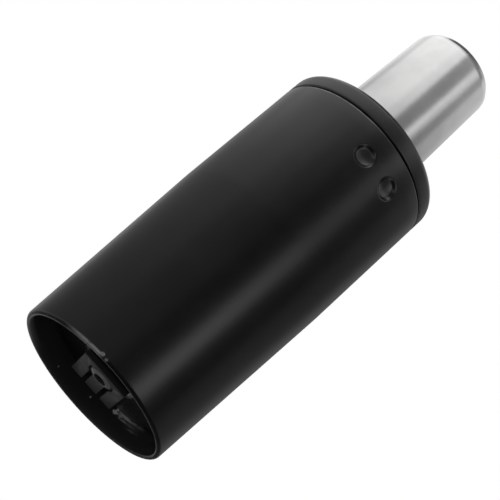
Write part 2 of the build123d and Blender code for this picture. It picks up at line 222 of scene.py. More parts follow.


# Ground or turned metal: fine rings round the axis, faint scratches, smudges, and darkened spots that a
# finish lists: dark oil where it gathers, painted shade where one part shades another
def turnedMetal(name, colour, finish):
    material, wire, place = startMaterial(name)
    radius, turn, z = aroundAxis(wire, place)
    ringPlace = {"X": radius * finish["ringAcross"], "Y": turn * finish["ringWander"], "Z": z}
    rings = wire.node("ShaderNodeCombineXYZ", None, ringPlace)
    fine = grain(wire, rings, finish["ringScale"], detail=3.0, roughness=0.65)
    smudge = grain(wire, place, finish["smudgeScale"], detail=3.0, roughness=0.55)
    shortened = stretched(wire, rings, 1.0, finish["scratchStretch"], 1.0)
    scratch = grain(wire, shortened, finish["ringScale"] * finish["scratchScale"], detail=1.0)
    scratch = scratch.ramp(*finish["scratchRange"])
    rough = finish["rough"] + swing(smudge, finish["roughSpread"]) + swing(fine, finish["roughSpread"])
    tone = mixed(wire, scaled(colour, finish["darkShare"]), colour, smudge.ramp(*finish["smudgeRange"]))
    # Darkened spots: oil, and painted shade
    for spot, reach in finish["oilAndShade"]:
        darkened = nearness(wire, place, spot, reach).ramp(*finish["oilAndShadeRange"])
        tone = mixed(wire, tone, finish["oilAndShadeColour"], darkened)
    return endMaterial(material, wire, {
        "Base Color": tone,
        "Metallic": 1.0,
        "Roughness": rough + scratch * finish["scratchRough"],
        "Normal": relief(wire, fine - scratch * finish["scratchDepth"], finish),
    })


# Knocks and painted glints: place and reach in millimetres, and how bare or bright. Painted highlight lines:
# turns in degrees, fades in radians, heights in millimetres where a line starts, is full, fades and ends
coatFinish = {
    "colour": (0.0022, 0.0022, 0.0023), "paleColour": (0.0036, 0.0036, 0.0038),
    "rough": 0.31, "roughSpread": 0.04, "specular": 0.75, "relief": 0.05, "depth": 0.00006,
    "peelScale": 1500.0, "cloudScale": 120.0, "cloudRange": (0.35, 0.7),
    "dustScale": 1300.0, "dustRange": (0.83, 0.87), "dustTone": 0.02, "dustRough": 0.08, "dustHeight": 0.6,
    # Inside the tube: painted fill light, and a painted light band at the mouth
    "insideLitColour": (0.016, 0.016, 0.0162), "mouthLitColour": (0.09, 0.09, 0.092), "mouthHeight": 0.0024,
    "mouthShare": 0.12, "mouthSide": (-0.021, -0.014),
    "bareAndHighlightColour": (0.75, 0.75, 0.76), "bareAndHighlightMetal": 0.5,
    "chipScale": 1400.0, "chipHeight": 0.0016, "chipRange": (0.62, 0.7), "chipTone": 0.4, "chipDepth": 2.0,
    "knocksAndGlintsRange": (0.34, 0.44),
    "knocksAndGlints": [
        # The two at the foot rim are chips, the four inside by the base plate's edge are painted glints, and
        # the last is a small knock
        ((-4.0, -23.3, 0.7), 1.6, 0.3), ((-2.4, -23.3, 0.3), 1.4, 0.25), ((9.0, 20.2, 6.5), 2.6, 1.0),
        ((10.6, 19.6, 6.4), 1.8, 0.45), ((1.8, 22.1, 4.4), 0.9, 0.6), ((-9.5, 20.0, 2.8), 0.8, 0.3),
        ((15.3, -19.6, 51.6), 0.5, 0.06),
    ],
    "lineLength": 0.004, "lineScale": 2400.0,
    # Painted highlights drawn as broken lines: the near foot rim's edge, the light line under the collar
    # seam, and glints and streaks on the inner wall by the base plate
    "paintedHighlightLines": [
        {"turns": (-132.0, -97.0), "fadeIn": 0.4, "fadeOut": 0.1, "heights": (-2, -1, 0.35, 0.8),
         "breaks": (0.2, 0.5), "tone": 0.5},
        {"turns": (-165.0, -75.0), "fadeIn": 0.4, "fadeOut": 0.5, "heights": (93.8, 94.0, 95, 96),
         "breaks": (0.3, 0.6), "tone": 0.16},
        {"turns": (36.0, 66.0), "fadeIn": 0.45, "fadeOut": 0.05, "heights": (6.2, 6.6, 7.0, 7.4),
         "breaks": (0.3, 0.55), "tone": 0.75, "inside": True},
        {"turns": (40.0, 64.0), "fadeIn": 0.4, "fadeOut": 0.08, "heights": (5.3, 5.6, 5.9, 6.2),
         "breaks": (0.3, 0.55), "tone": 0.4, "inside": True},
        {"turns": (36.0, 56.0), "fadeIn": 0.3, "fadeOut": 0.2, "heights": (4.3, 4.6, 4.9, 5.2),
         "breaks": (0.3, 0.55), "tone": 0.2, "inside": True},
    ],
}


# 1 along a painted highlight line, fading at its ends and its edges
def highlightBand(turn, z, highlightLine):
    start, end = (radians(edge) for edge in highlightLine["turns"])
    low, full, fading, gone = (height * mm for height in highlightLine["heights"])
    along = turn.ramp(start, start + highlightLine["fadeIn"]) * (1 - turn.ramp(end - highlightLine["fadeOut"], end))
    return along * z.ramp(low, full) * (1 - z.ramp(fading, gone))


# Sprayed black coat: orange peel, a few dust nibs, chips along the foot rim and where it was knocked, painted
# glints and painted highlight lines round the axis.
# Inside a tube the coat is painted paler as painted fill light, and the mouth gets a painted light band, most
# on its -X side
def satinCoat(name, finish, isInside=None):
    material, wire, place = startMaterial(name)
    radius, turn, z = aroundAxis(wire, place)
    peel = grain(wire, place, finish["peelScale"])
    cloud = grain(wire, place, finish["cloudScale"], detail=3.0)
    dust = grain(wire, place, finish["dustScale"], detail=1.0).ramp(*finish["dustRange"])
    chipNoise = grain(wire, place, finish["chipScale"], detail=3.0, roughness=0.6)
    nearRim = 1 - z.ramp(0.0, finish["chipHeight"])
    chipsAndHighlights = (chipNoise * nearRim).ramp(*finish["chipRange"]).most(dust * finish["dustTone"])
    chipsAndHighlights = chipsAndHighlights * finish["chipTone"]
    # Knocks, and painted glints where a finish places them inside by the base plate
    for spot, reach, share in finish["knocksAndGlints"]:
        knockAndGlint = chipNoise * nearness(wire, place, spot, reach)
        chipsAndHighlights = chipsAndHighlights.most(knockAndGlint.ramp(*finish["knocksAndGlintsRange"]) * share)
    coat = mixed(wire, finish["colour"], finish["paleColour"], cloud.ramp(*finish["cloudRange"]))
    lines = wire.node("ShaderNodeCombineXYZ", None, {"X": radius, "Y": turn * finish["lineLength"], "Z": z})
    lineNoise = grain(wire, lines, finish["lineScale"], detail=3.0, roughness=0.6)
    # Painted highlight lines, mixed towards the pale bare colour
    for highlightLine in finish["paintedHighlightLines"]:
        band = highlightBand(turn, z, highlightLine)
        if highlightLine.get("inside"):
            band = band * isInside(radius, z)
        chipsAndHighlights = chipsAndHighlights.most(band * lineNoise.ramp(*highlightLine["breaks"]) * highlightLine["tone"])
    # Painted fill light: the coat inside the tube is painted paler, and a painted light band lies at the
    # mouth, most on its -X side
    if isInside:
        leftSide = 1 - (radius * wire.math("COSINE", turn)).ramp(*finish["mouthSide"])
        mouthLight = (1 - z.ramp(0.0, finish["mouthHeight"])) * (finish["mouthShare"] + leftSide)
        insideLit = mixed(wire, finish["insideLitColour"], finish["mouthLitColour"], mouthLight)
        coat = mixed(wire, coat, insideLit, isInside(radius, z))
    rough = finish["rough"] + swing(cloud, finish["roughSpread"]) + dust * finish["dustRough"]
    height = peel + dust * finish["dustHeight"] - chipsAndHighlights * finish["chipDepth"]
    return endMaterial(material, wire, {
        "Base Color": mixed(wire, coat, finish["bareAndHighlightColour"], chipsAndHighlights),
        "Metallic": chipsAndHighlights * finish["bareAndHighlightMetal"],
        "Roughness": rough,
        "Specular IOR Level": finish["specular"],
        "Normal": relief(wire, height, finish),
    })


skinFinish = {
    "skinScale": 4200.0, "flowScale": 160.0, "flowStretch": 0.35, "flowRange": (0.35, 0.7), "paleShare": 1.5,
    "rough": 0.45, "roughSpread": 0.06, "specular": 0.5, "relief": 0.12, "depth": 0.00006,
}


# Moulded plastic or rubber with a spark-eroded skin
def mouldedSkin(name, colour, finish):
    material, wire, place = startMaterial(name)
    skin = grain(wire, place, finish["skinScale"], roughness=0.6)
    lengthened = stretched(wire, place, 1.0, 1.0, finish["flowStretch"])
    flow = grain(wire, lengthened, finish["flowScale"], detail=3.0, roughness=0.55)
    pale = scaled(colour, finish["paleShare"])
    return endMaterial(material, wire, {
        "Base Color": mixed(wire, colour, pale, flow.ramp(*finish["flowRange"])),
        "Roughness": finish["rough"] + swing(flow, finish["roughSpread"]),
        "Specular IOR Level": finish["specular"],
        "Normal": relief(wire, skin, finish),
    })


stripFinish = {
    "rollScale": 2600.0, "rollStretch": 0.12, "rollRange": (0.3, 0.7), "paleShare": 1.2,
    "filmScale": 320.0, "filmRange": (0.45, 0.6), "filmShine": 0.07, "filmHeight": 0.4,
    # The eye gets a painted highlight, and the bend gets painted shade
    "eyeInner": (0.0019, 0.0023), "eyeOuter": (0.0031, 0.0035), "eyeHighlightColour": (0.34, 0.34, 0.345),
    "eyeShine": 0.12, "bendPlace": (-0.0048, -0.0038), "bendShadeColour": (0.034, 0.034, 0.035),
    "rough": 0.42, "roughSpread": 0.06, "metallic": 0.8, "specular": 0.5, "relief": 0.1, "depth": 0.00004,
}


# Folded spring strip: rolled grain along it, oily film in patches, a smoother eye with a painted highlight,
# and painted shade on the bend
def springStrip(name, colour, finish):
    material, wire, place = startMaterial(name)
    radius = aroundAxis(wire, place)[0]
    y = wire.node("ShaderNodeSeparateXYZ", None, {"Vector": place}, "Y")
    lengthened = stretched(wire, place, 1.0, finish["rollStretch"], 1.0)
    rolled = grain(wire, lengthened, finish["rollScale"], detail=3.0, roughness=0.6)
    film = grain(wire, place, finish["filmScale"], detail=3.0, roughness=0.55).ramp(*finish["filmRange"])
    # Painted highlight on the eye round the hole, which is also smoother
    eyeHighlight = radius.ramp(*finish["eyeInner"]) * (1 - radius.ramp(*finish["eyeOuter"]))
    # Painted shade on the fold's bend
    bendShade = 1 - y.ramp(*finish["bendPlace"])
    rough = finish["rough"] + swing(rolled, finish["roughSpread"]) - film * finish["filmShine"]
    flat = mixed(wire, colour, scaled(colour, finish["paleShare"]), rolled.ramp(*finish["rollRange"]))
    flat = mixed(wire, flat, finish["eyeHighlightColour"], eyeHighlight)
    return endMaterial(material, wire, {
        "Base Color": mixed(wire, flat, finish["bendShadeColour"], bendShade),
        "Metallic": finish["metallic"],
        "Roughness": rough - eyeHighlight * finish["eyeShine"],
        "Specular IOR Level": finish["specular"],
        "Normal": relief(wire, rolled + film * finish["filmHeight"], finish),
    })


plateCoat = satinCoat("black plate coat", {
    **coatFinish, "colour": (0.004, 0.004, 0.0041), "paleColour": (0.007, 0.007, 0.0072),
    "rough": 0.3, "roughSpread": 0.16, "specular": 0.4, "relief": 0.2,
    "dustScale": 900.0, "dustRange": (0.7, 0.74), "dustTone": 0.08,
    "chipRange": (2.0, 2.08),  # past what the noise reaches, so no rim chips
    # Painted glints and a painted highlight line along the plate's edge by the wall
    "knocksAndGlints": [((9.4, 19.7, 7.4), 2.8, 0.8), ((11.4, 18.5, 7.5), 2.2, 0.3), ((-8.4, 20.2, 7.4), 1.0, 0.3)],
    "paintedHighlightLines": [
        {"turns": (40.0, 64.0), "fadeIn": 0.4, "fadeOut": 0.05, "heights": (7.0, 7.2, 8.0, 8.4),
         "breaks": (0.35, 0.6), "tone": 0.3},
    ],
})
spindleSteel = turnedMetal("ground spindle steel", (0.62, 0.62, 0.615), turnedFinish)
innerSteel = turnedMetal("turned steel", (0.56, 0.56, 0.57), {**turnedFinish, "rough": 0.2})
rodSteel = turnedMetal("piston rod steel", (0.56, 0.56, 0.57), {
    **turnedFinish, "rough": 0.2, "oilAndShade": [((0, 0, 5.5), 3.6), ((0, 0, 8.0), 3.6)],
})
zincSteel = turnedMetal("zinc plated steel", (0.72, 0.73, 0.74), {
    **turnedFinish, "rough": 0.28, "ringScale": 4000.0,
})
turnedBrass = turnedMetal("turned brass", (0.72, 0.53, 0.24), {**turnedFinish, "rough": 0.28})
turnedAluminium = turnedMetal("turned aluminium", (0.72, 0.72, 0.74), {**turnedFinish, "rough": 0.3})
# Its darkened spot on the -X side is painted shade from the clip
washerZinc = turnedMetal("worn washer zinc", (0.93, 0.93, 0.94), {
    **turnedFinish, "rough": 0.2, "ringScale": 4000.0, "oilAndShade": [((-7.0, -3.0, 5.9), 9.0)],
})
clipSteel = springStrip("tempered clip steel", (0.1, 0.1, 0.103), stripFinish)
collarPlastic = mouldedSkin("moulded collar plastic", (0.006, 0.006, 0.0062), {
    **skinFinish, "rough": 0.36, "specular": 0.85,
})
sleevePlastic = mouldedSkin("moulded sleeve plastic", (0.016, 0.016, 0.017), {**skinFinish, "rough": 0.4})
buttonPlastic = mouldedSkin("push button plastic", (0.02, 0.02, 0.021), {**skinFinish, "rough": 0.35})
nylon = mouldedSkin("natural nylon", (0.68, 0.65, 0.57), {**skinFinish, "paleShare": 1.1, "rough": 0.4})
rubber = mouldedSkin("black rubber", (0.018, 0.018, 0.018), {**skinFinish, "rough": 0.6, "specular": 0.35})
print("finishes made:", len(bpy.data.materials))


# Turned pieces: (radius, height) corners in millimetres, with a rounding where there is a third number
def roundedProfile(corners, arcStep=radians(9)):
    points = []
    for index, corner in enumerate(corners):
        a, b = corner[:2]
        if len(corner) == 2:
            points.append((a, b))
            continue
        rounding = corner[2]
        before = Vector(corners[index - 1][:2]) - Vector((a, b))
        after = Vector(corners[(index + 1) % len(corners)][:2]) - Vector((a, b))
        before.normalize()
        after.normalize()
        middle = (before + after).normalized()
        halfTurn = asin(min(1.0, abs(before.x * middle.y - before.y * middle.x)))
        run = rounding / tan(halfTurn)
        centre = Vector((a, b)) + middle * (rounding / sin(halfTurn))
        first = Vector((a, b)) + before * run - centre
        last = Vector((a, b)) + after * run - centre
        start = atan2(first.y, first.x)
        sweep = (atan2(last.y, last.x) - start + pi) % (2 * pi) - pi
        steps = max(3, ceil(abs(sweep) / arcStep))
        for step in range(steps + 1):
            angle = start + sweep * step / steps
            points.append((centre.x + rounding * cos(angle), centre.y + rounding * sin(angle)))
    return points


# Extra points on the long straight stretches, closer together where closeBand says
def filledProfile(points, step, closeBand=None):
    filled = []
    for index, (a, b) in enumerate(points):
        nextA, nextB = points[(index + 1) % len(points)]
        filled.append((a, b))
        length = hypot(nextA - a, nextB - b)
        parts = max(1, ceil(length / step))
        marks = [number / parts for number in range(1, parts)]
        if closeBand and abs(nextB - b) > length / 2:
            low, high, closeStep = closeBand
            rows = [low + number * closeStep for number in range(int((high - low) / closeStep) + 1)]
            inBand = [(row - b) / (nextB - b) for row in rows if min(b, nextB) < row < max(b, nextB)]
            marks = [mark for mark in marks if not low < b + mark * (nextB - b) < high] + inBand
        for mark in sorted(marks):
            filled.append((a + (nextA - a) * mark, b + (nextB - b) * mark))
    return filled


def evenAngles(count):
    return [2 * pi * index / count for index in range(count)]


def placed(name, data):
    made = bpy.data.objects.new(name, data)
    bpy.context.scene.collection.objects.link(made)
    return made


def placedMesh(name, work):
    mesh = bpy.data.meshes.new(name)
    work.to_mesh(mesh)
    work.free()
    return placed(name, mesh)


onAxis = 1e-6  # millimetres


def spun(name, points, angles):
    work = bmesh.new()
    axisVerts = {}
    columns = []
    for angle in angles:
        column = []
        for index, (radius, height) in enumerate(points):
            if radius < onAxis:
                if index not in axisVerts:
                    axisVerts[index] = work.verts.new((0, 0, height * mm))
                column.append(axisVerts[index])
            else:
                across = radius * cos(angle) * mm, radius * sin(angle) * mm
                column.append(work.verts.new((*across, height * mm)))
        columns.append(column)
    for number, column in enumerate(columns):
        following = columns[(number + 1) % len(columns)]
        for index in range(len(points)):
            onward = (index + 1) % len(points)
            corners = []
            for vert in (column[index], following[index], following[onward], column[onward]):
                if vert not in corners:
                    corners.append(vert)
            if len(corners) > 2:
                work.faces.new(corners)
    bmesh.ops.recalc_face_normals(work, faces=work.faces)
    return placedMesh(name, work)


sharpAngle = 38  # degrees, past which an edge isn't shaded smooth


# The piece takes its CAD node's place: same body, its finish, the node hidden
def standFor(piece, node, material):
    piece.data.materials.clear()
    piece.data.materials.append(material)
    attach(piece, frame["nodes"][node]["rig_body"])
    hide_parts(node)
    piece.data.shade_smooth()
    piece.data.set_sharp_from_angle(angle=radians(sharpAngle))
    return piece


def top(node):
    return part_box(node)[1].z / mm


def foot(node):
    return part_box(node)[0].z / mm


def outerRadius(node):
    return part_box(node)[1].x / mm


# Geometry Nodes: a new tree with named inputs, and the plain mesh that it gives
def startTree(name, counts, sizes):
    tree = bpy.data.node_groups.new(name, "GeometryNodeTree")
    kinds = {"Geometry": "NodeSocketGeometry"}
    kinds.update({label: "NodeSocketInt" for label in counts})
    kinds.update({label: "NodeSocketFloat" for label in sizes})
    for label, kind in kinds.items():
        tree.interface.new_socket(label, in_out="INPUT", socket_type=kind)
    tree.interface.new_socket("Geometry", in_out="OUTPUT", socket_type="NodeSocketGeometry")
    source = tree.nodes.new("NodeGroupInput")
    given = {socket.name: Wire(tree, socket) for socket in source.outputs if socket.name}
    return tree, Wire(tree), given


def endTree(tree, wire, geometry, material):
    real = wire.node("GeometryNodeRealizeInstances", None, {"Geometry": geometry})
    painted = wire.node("GeometryNodeSetMaterial", None, {"Geometry": real, "Material": material})
    result = tree.nodes.new("NodeGroupOutput")
    tree.links.new(painted.socket, result.inputs["Geometry"])
    return tree


# Points on a level circle round the axis
def circlePoints(wire, count, radius, height):
    circle = wire.node("GeometryNodeMeshCircle", None, {"Vertices": count, "Radius": radius})
    lift = wire.node("ShaderNodeCombineXYZ", None, {"Z": height})
    return wire.node("GeometryNodeTransform", None, {"Geometry": circle, "Translation": lift})


def baked(piece):
    graph = bpy.context.evaluated_depsgraph_get()
    piece.data = bpy.data.meshes.new_from_object(piece.evaluated_get(graph))
    piece.modifiers.clear()
    return piece


def grown(piece, tree, values):
    modifier = piece.modifiers.new(tree.name, "NODES")
    modifier.node_group = tree
    for item in tree.interface.items_tree:
        if item.in_out == "INPUT" and item.name in values:
            modifier[item.identifier] = values[item.name]
    return baked(piece)


# Crimp dimples: pairs of dished, steep-sided bowls pressed into a tube wall
dimples = {
    "pairs": 3, "firstAngle": -86.3, "pairAngle": 24.2, "drop": 8.55, "mouthRadius": 3.1, "floorRadius": 2.3,
    "depth": 1.2, "edgeRounding": 0.25, "dish": 0.32, "closeStep": 0.16, "closeMargin": 1.4, "openAngle": 2.0,
    "wallMargin": 1.0,
}
dimpleHeight = top("column_tube") - dimples["drop"]
dimpleReach = dimples["mouthRadius"] + dimples["closeMargin"]
tubeRadius = outerRadius("column_tube")


def dimpleAngles():
    for pair in range(dimples["pairs"]):
        for offset in (0, dimples["pairAngle"]):
            yield radians(dimples["firstAngle"] + 360 * pair / dimples["pairs"] + offset)


# Close together across the dimples, open elsewhere
def dimpledAngles():
    closeTurn = dimples["closeStep"] / tubeRadius
    openTurn = radians(dimples["openAngle"])
    angles = []
    angle = 0.0
    while angle < 2 * pi - closeTurn:
        angles.append(angle)
        fromDimples = [abs((angle - middle + pi) % (2 * pi) - pi) for middle in dimpleAngles()]
        gap = min(fromDimples) - dimpleReach / tubeRadius
        angle += closeTurn if gap < 0 else min(openTurn, max(closeTurn, gap))
    return angles


def dimpleBand(step):
    return dimpleHeight - dimpleReach, dimpleHeight + dimpleReach, step


def dimpleTree(material):
    tree, wire, given = startTree("crimp dimples " + material.name, [], [
        "Pairs", "First Angle", "Pair Angle", "Height", "Wall Radius", "Mouth", "Floor", "Depth", "Rounding",
        "Dish", "Inner Limit",
    ])
    place = wire.node("GeometryNodeInputPosition")
    radius, turn, z = aroundAxis(wire, place)
    period = 2 * pi / given["Pairs"]
    fromFirst = wire.math("FLOORED_MODULO", turn - given["First Angle"], period)
    fromSecond = (fromFirst - given["Pair Angle"]).size()
    near = fromFirst.size().least(fromSecond).least((period - fromFirst).size())
    across = near * given["Wall Radius"]
    along = z - given["Height"]
    apart = wire.math("SQRT", across * across + along * along)
    share = (given["Mouth"] - apart) / (given["Mouth"] - given["Floor"])
    rise = wire.math("SMOOTH_MAX", share, 0.0, given["Rounding"])
    side = wire.math("SMOOTH_MIN", rise, 1.0, given["Rounding"])
    dish = (1 - (apart / given["Floor"]) ** 2).most(0.0)
    bowl = (side + (dish - side) * given["Dish"]) * (radius > given["Inner Limit"])
    inwards = 0 - bowl * given["Depth"] / radius
    push = wire.node("ShaderNodeVectorMath", {"operation": "SCALE"}, {0: place, "Scale": inwards})
    level = stretched(wire, push, 1.0, 1.0, 0.0)
    moved = wire.node("GeometryNodeSetPosition", None, {"Geometry": given["Geometry"], "Offset": level})
    return endTree(tree, wire, moved, material)


# Both sides of the wall are pressed in, and what lies deeper than its inner radius less a margin stays
def crimped(piece, material, innerRadius, gap=0.0):
    return grown(piece, dimpleTree(material), {
        "Pairs": float(dimples["pairs"]), "First Angle": radians(dimples["firstAngle"]),
        "Pair Angle": radians(dimples["pairAngle"]), "Height": dimpleHeight * mm,
        "Wall Radius": tubeRadius * mm, "Mouth": (dimples["mouthRadius"] + gap) * mm,
        "Floor": (dimples["floorRadius"] + gap) * mm, "Depth": (dimples["depth"] + gap) * mm,
        "Rounding": dimples["edgeRounding"], "Dish": dimples["dish"],
        "Inner Limit": (innerRadius - dimples["wallMargin"]) * mm,
    })


# Column tube, drawn to the base taper below and crimped over the guide bush above
tube = {
    "wall": 1.5, "taperAngle": 1.4379, "taperLength": 56.0, "taperRounding": 60.0, "rimOuterRounding": 0.9,
    "rimInnerRounding": 0.4, "topRounding": 0.5, "step": 4.0,
}
taperSlope = tan(radians(tube["taperAngle"]))


def tubeOutside(height):
    return tubeRadius - max(tube["taperLength"] - height, 0) * taperSlope


def insideTube(radius, z):
    taper = (tube["taperLength"] * mm - z).most(0.0) * taperSlope
    return radius < (tubeRadius - tube["wall"] / 2) * mm - taper


tubeCoat = satinCoat("black satin coat", coatFinish, insideTube)


def makeColumnTube():
    high = top("column_tube")
    inside = tubeRadius - tube["wall"]
    corners = [
        (tubeOutside(0), 0, tube["rimOuterRounding"]),
        (tubeRadius, tube["taperLength"], tube["taperRounding"]),
        (tubeRadius, high, tube["topRounding"]),
        (inside, high, tube["topRounding"]),
        (inside, tube["taperLength"], tube["taperRounding"]),
        (tubeOutside(0) - tube["wall"], 0, tube["rimInnerRounding"]),
    ]
    profile = filledProfile(roundedProfile(corners), tube["step"], dimpleBand(dimples["closeStep"]))
    piece = spun("columnTube", profile, dimpledAngles())
    crimped(piece, tubeCoat, inside)
    return standFor(piece, "column_tube", tubeCoat)


columnTube = makeColumnTube()
print("column tube:", len(columnTube.data.polygons), "faces")


# Guide bush: the collar that shows, and a ribbed sleeve down the tube
bush = {
    "collarRounding": 2.0, "seamRounding": 0.5, "seamGap": 0.36, "lead": 0.8, "seatGap": 0.05,
    "coreWall": 3.0, "upperLand": 17.0, "lowerLand": 7.0, "boreGap": 0.06, "boreLand": 12.0,
    "boreRelief": 0.5, "ribs": 16, "ribWidth": 1.6, "ribEdge": 0.15, "step": 6.0, "closeStep": 0.32,
}


def bushOutside(height):
    return tubeOutside(height) - tube["wall"] - bush["seatGap"]


def ribTree(material):
    sizes = ["Inner Radius", "Outer Radius", "Width", "Bottom", "Top"]
    tree, wire, given = startTree("guide bush ribs", ["Ribs"], sizes)
    reach = given["Outer Radius"] - given["Inner Radius"]
    rise = given["Top"] - given["Bottom"]
    size = wire.node("ShaderNodeCombineXYZ", None, {"X": reach, "Y": given["Width"], "Z": rise})
    blade = wire.node("GeometryNodeMeshCube", None, {"Size": size}, "Mesh")
    middleRadius = (given["Inner Radius"] + given["Outer Radius"]) / 2
    middleHeight = (given["Top"] + given["Bottom"]) / 2
    spots = circlePoints(wire, given["Ribs"], middleRadius, middleHeight)
    turn = aroundAxis(wire, wire.node("GeometryNodeInputPosition"))[1]
    facing = wire.node("ShaderNodeCombineXYZ", None, {"Z": turn})
    values = {"Points": spots, "Instance": blade, "Rotation": facing}
    blades = wire.node("GeometryNodeInstanceOnPoints", None, values)
    joined = tree.nodes.new("GeometryNodeJoinGeometry")
    for part in (blades, given["Geometry"]):
        tree.links.new(part.socket, joined.inputs["Geometry"])
    return endTree(tree, wire, Wire(tree, joined.outputs["Geometry"]), material)


def makeGuideBush():
    high = top("guide_bush")
    low = foot("guide_bush")
    seam = top("column_tube")
    bore = outerRadius("spindle_tube") + bush["boreGap"]
    relieved = bore + bush["boreRelief"]
    core = bore + bush["coreWall"]
    ribTop = seam - bush["upperLand"]
    ribFoot = low + bush["lowerLand"]
    corners = [
        (bore, high, bush["lead"]),
        (tubeRadius, high, bush["collarRounding"]),
        (tubeRadius, seam + bush["seamGap"], bush["seamRounding"]),
        (bushOutside(seam), seam + bush["seamGap"]),
        (bushOutside(ribTop), ribTop),
        (core, ribTop),
        (core, ribFoot),
        (bushOutside(ribFoot), ribFoot),
        (bushOutside(low), low),
        (bore, low, bush["lead"]),
        (bore, low + bush["boreLand"]),
        (relieved, low + bush["boreLand"] + bush["boreRelief"]),
        (relieved, high - bush["boreLand"] - bush["boreRelief"]),
        (bore, high - bush["boreLand"]),
    ]
    profile = filledProfile(roundedProfile(corners), bush["step"], dimpleBand(bush["closeStep"]))
    piece = spun("guideBush", profile, dimpledAngles())
    crimped(piece, collarPlastic, bushOutside(ribTop), bush["seatGap"])
    grown(piece, ribTree(collarPlastic), {
        "Ribs": bush["ribs"], "Inner Radius": (core - bush["coreWall"] / 2) * mm,
        "Outer Radius": bushOutside(ribFoot) * mm, "Width": bush["ribWidth"] * mm,
        "Bottom": (ribFoot - bush["ribEdge"]) * mm, "Top": (ribTop + bush["ribEdge"]) * mm,
    })
    return standFor(piece, "guide_bush", collarPlastic)


guideBush = makeGuideBush()
print("guide bush:", len(guideBush.data.polygons), "faces")


# Spindle tube: ground steel, its seat taper at the top, both ends rolled in. The top edge is a slight lead
# and then a cone
spindle = {
    "wall": 1.6, "taperLength": 39.0, "taperRounding": 60.0, "endRounding": 3.0, "topLip": 8.6,
    "bottomLip": 10.6, "lipEdge": 0.3, "coneHeight": 1.8, "coneWidth": 1.16, "coneEdge": 0.3, "topEdge": 0.6,
    "leadHeight": 2.9, "leadWidth": 0.2, "leadRounding": 4.0, "segments": 256, "arcAngle": 6, "step": 5.0,
}


def makeSpindle():
    high = top("spindle_tube")
    low = foot("spindle_tube")
    radius = outerRadius("spindle_tube")
    start = high - spindle["taperLength"]
    topRadius = radius - spindle["taperLength"] * taperSlope
    leadRadius = topRadius - spindle["leadWidth"]
    inside = radius - spindle["wall"]
    innerRounding = spindle["endRounding"] - spindle["wall"]
    corners = [
        (spindle["topLip"], high, spindle["lipEdge"]),
        (leadRadius - spindle["coneWidth"], high, spindle["topEdge"]),
        (leadRadius, high - spindle["coneHeight"], spindle["coneEdge"]),
        (topRadius, high - spindle["leadHeight"], spindle["leadRounding"]),
        (radius, start, spindle["taperRounding"]),
        (radius, low, spindle["endRounding"]),
        (spindle["bottomLip"], low, spindle["lipEdge"]),
        (spindle["bottomLip"], low + spindle["wall"]),
        (inside, low + spindle["wall"], innerRounding),
        (inside, start),
        (topRadius - spindle["wall"], high - spindle["wall"], innerRounding),
        (spindle["topLip"], high - spindle["wall"]),
    ]
    profile = filledProfile(roundedProfile(corners, radians(spindle["arcAngle"])), spindle["step"])
    piece = spun("spindleTube", profile, evenAngles(spindle["segments"]))
    return standFor(piece, "spindle_tube", spindleSteel)


spindleTube = makeSpindle()
print("spindle tube:", len(spindleTube.data.polygons), "faces")


# Base plate: pressed cup wedged in the taper, open side up
plate = {
    "thickness": 2.5, "rounding": 1.6, "edge": 0.4, "boreRadius": 4.46, "boreEdge": 0.3, "pocketDepth": 0.5,
    "seatGap": 0.05, "segments": 192,
}


def makeBasePlate():
    low = foot("base_plate")
    high = top("base_plate")
    face = low + plate["thickness"]
    floorRadius = tubeOutside(low) - tube["wall"] - plate["seatGap"]
    rimRadius = tubeOutside(high) - tube["wall"] - plate["seatGap"]
    pocket = outerRadius("lower_race") + plate["seatGap"]
    corners = [
        (plate["boreRadius"], low, plate["boreEdge"]),
        (floorRadius, low, plate["rounding"]),
        (rimRadius, high, plate["edge"]),
        (rimRadius - plate["thickness"], high, plate["edge"]),
        (floorRadius - plate["thickness"], face, plate["edge"]),
        (pocket, face),
        (pocket, face - plate["pocketDepth"]),
        (plate["boreRadius"], face - plate["pocketDepth"]),
    ]
    piece = spun("basePlate", roundedProfile(corners), evenAngles(plate["segments"]))
    return standFor(piece, "base_plate", plateCoat)


basePlate = makeBasePlate()


# Clip and washer: the sheet metal edges get a small break, widths in millimetres and angles in degrees
sheetEdges = {
    "clipBreak": 0.09, "washerBreak": 0.12, "segments": 2, "mergeDistance": 0.002, "flatAngle": 0.5,
    "sharpAngle": 40,
}


def softEdged(name, node, material, width):
    work = bmesh.new()
    work.from_mesh(frame["nodes"][node].data)
    bmesh.ops.remove_doubles(work, verts=work.verts, dist=sheetEdges["mergeDistance"] * mm)
    flatAngle = radians(sheetEdges["flatAngle"])
    bmesh.ops.dissolve_limit(work, angle_limit=flatAngle, verts=work.verts, edges=work.edges)
    piece = placedMesh(name, work)
    bevel = piece.modifiers.new("edge break", "BEVEL")
    bevel.width = width * mm
    bevel.segments = sheetEdges["segments"]
    bevel.limit_method = "ANGLE"
    bevel.angle_limit = radians(sheetEdges["sharpAngle"])
    return standFor(baked(piece), node, material)


retainingClip = softEdged("retainingClip", "retaining_clip", clipSteel, sheetEdges["clipBreak"])
clipWasher = softEdged("clipWasher", "clip_washer", washerZinc, sheetEdges["washerBreak"])
print("foot end: plate, clip and washer")


# Thrust bearing balls, one in each pocket of the cage
bearing = {"balls": 12, "pitchRadius": 8.2, "ballRadius": 1.5, "segments": 32, "rings": 20}


